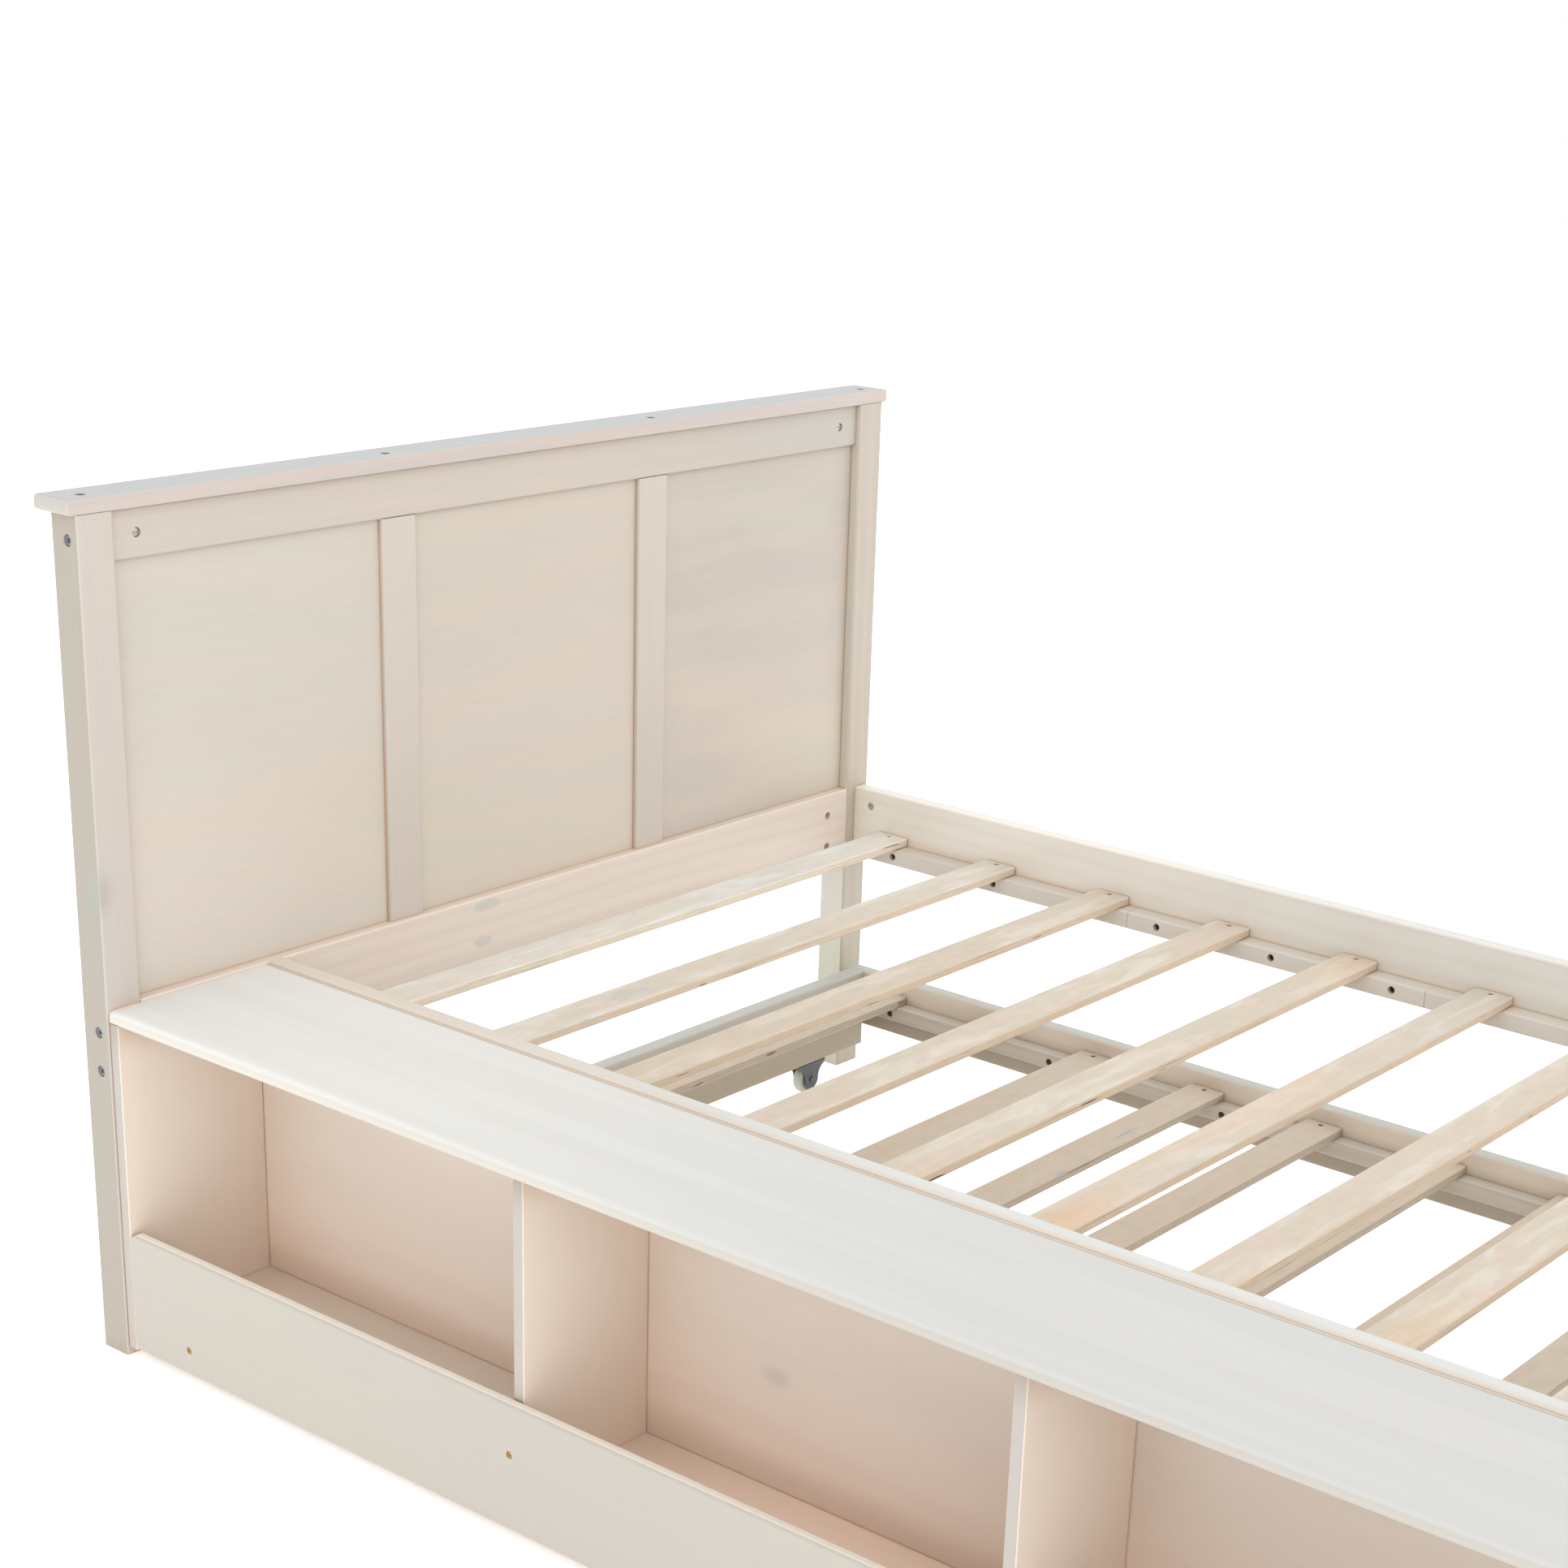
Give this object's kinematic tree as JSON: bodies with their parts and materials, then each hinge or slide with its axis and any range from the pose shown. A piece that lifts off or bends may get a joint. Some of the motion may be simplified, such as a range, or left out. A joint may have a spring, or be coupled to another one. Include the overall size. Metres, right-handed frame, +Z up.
{
  "type": "extendable platform bed",
  "caption": "Platform bed with a panelled headboard, a slatted deck, an open bookcase along one side and a slatted trundle that rolls out on casters from under the other side.",
  "frame": {"origin": "floor level below the middle of the overall box", "axes": "+Z up, +Y towards the headboard, +X towards the side where the trundle rolls out, -X towards the bookcase"},
  "size_m": [1.284, 2.013, 0.9235],
  "materials": {
    "washed_wood": "white-washed softwood, satin, grain showing through",
    "washed_top": "white-washed softwood, cooler where the light falls on it",
    "washed_panel": "white-washed plywood with faint level grain",
    "bookcase_wood": "white-washed boards, satin",
    "ledger_wood": "white-washed strips",
    "slat_wood": "bare pale softwood with eased edges",
    "trundle_wood": "white-washed softwood",
    "zinc_fasteners": "zinc plated steel",
    "brass_screws": "yellow passivated screws",
    "caster_steel": "blue-grey sheet steel",
    "caster_wheel": "pale moulded nylon"
  },
  "bodies": {
    "bed": {"headboard_post_near": "washed_wood", "headboard_post_far": "washed_wood", "headboard_cap": "washed_top", "headboard_top_rail": "washed_wood", "headboard_lower_rail": "washed_wood", "headboard_panel_near": "washed_panel", "headboard_panel_middle": "washed_panel", "headboard_panel_far": "washed_panel", "headboard_stile_near": "washed_wood", "headboard_stile_far": "washed_wood", "headboard_inner_leg": "washed_wood", "footboard_post_near": "washed_wood", "footboard_post_far": "washed_wood", "footboard_rail": "washed_wood", "footboard_inner_leg": "washed_wood", "side_rail_near": "washed_wood", "side_rail_far": "washed_wood", "ledger_near": "ledger_wood", "ledger_far": "ledger_wood", "bed_slat_1": "slat_wood", "bed_slat_2": "slat_wood", "bed_slat_3": "slat_wood", "bed_slat_4": "slat_wood", "bed_slat_5": "slat_wood", "bed_slat_6": "slat_wood", "bed_slat_7": "slat_wood", "bed_slat_8": "slat_wood", "bed_slat_9": "slat_wood", "bed_slat_10": "slat_wood", "bed_slat_11": "slat_wood", "bookcase_top": "washed_top", "bookcase_end_head": "bookcase_wood", "bookcase_end_foot": "bookcase_wood", "bookcase_divider_1": "bookcase_wood", "bookcase_divider_2": "bookcase_wood", "bookcase_back": "bookcase_wood", "bookcase_shelf": "bookcase_wood", "bookcase_front_board": "bookcase_wood", "bookcase_cleat": "ledger_wood", "bed_bolts": "zinc_fasteners", "barrel_nuts": "zinc_fasteners", "ledger_screws": "zinc_fasteners", "slat_screws": "zinc_fasteners", "cap_screws": "zinc_fasteners", "bookcase_screws": "brass_screws"},
    "trundle": {"trundle_head_rail": "trundle_wood", "trundle_foot_rail": "trundle_wood", "trundle_near_rail": "trundle_wood", "trundle_far_rail": "trundle_wood", "trundle_ledgers": "trundle_wood", "trundle_slats": "slat_wood", "caster_forks": "caster_steel", "caster_axles": "zinc_fasteners", "trundle_frame_screws": "zinc_fasteners", "trundle_ledger_screws": "zinc_fasteners", "trundle_slat_screws": "zinc_fasteners"},
    "wheel_near_head": {"caster_wheel_near_head": "caster_wheel"},
    "wheel_near_foot": {"caster_wheel_near_foot": "caster_wheel"},
    "wheel_far_head": {"caster_wheel_far_head": "caster_wheel"},
    "wheel_far_foot": {"caster_wheel_far_foot": "caster_wheel"}
  },
  "joints": [
    {"name": "trundle_roll_out", "type": "slide", "parent": "bed", "child": "trundle", "axis": [1, 0, 0], "range_m": [0, 1]},
    {"name": "wheel_near_head_spin", "type": "hinge", "parent": "trundle", "child": "wheel_near_head", "pos_m": [-0.303, 0.9225, 0.02], "axis": [0, 1, 0], "continuous": true},
    {"name": "wheel_near_foot_spin", "type": "hinge", "parent": "trundle", "child": "wheel_near_foot", "pos_m": [-0.303, -0.9355, 0.02], "axis": [0, 1, 0], "continuous": true},
    {"name": "wheel_far_head_spin", "type": "hinge", "parent": "trundle", "child": "wheel_far_head", "pos_m": [0.482, 0.9225, 0.02], "axis": [0, 1, 0], "continuous": true},
    {"name": "wheel_far_foot_spin", "type": "hinge", "parent": "trundle", "child": "wheel_far_foot", "pos_m": [0.482, -0.9355, 0.02], "axis": [0, 1, 0], "continuous": true}
  ],
  "couplings": [
    {"joint": "wheel_near_head_spin", "follows": "trundle_roll_out", "rad_per_m": 50},
    {"joint": "wheel_near_foot_spin", "follows": "trundle_roll_out", "rad_per_m": 50},
    {"joint": "wheel_far_head_spin", "follows": "trundle_roll_out", "rad_per_m": 50},
    {"joint": "wheel_far_foot_spin", "follows": "trundle_roll_out", "rad_per_m": 50}
  ]
}
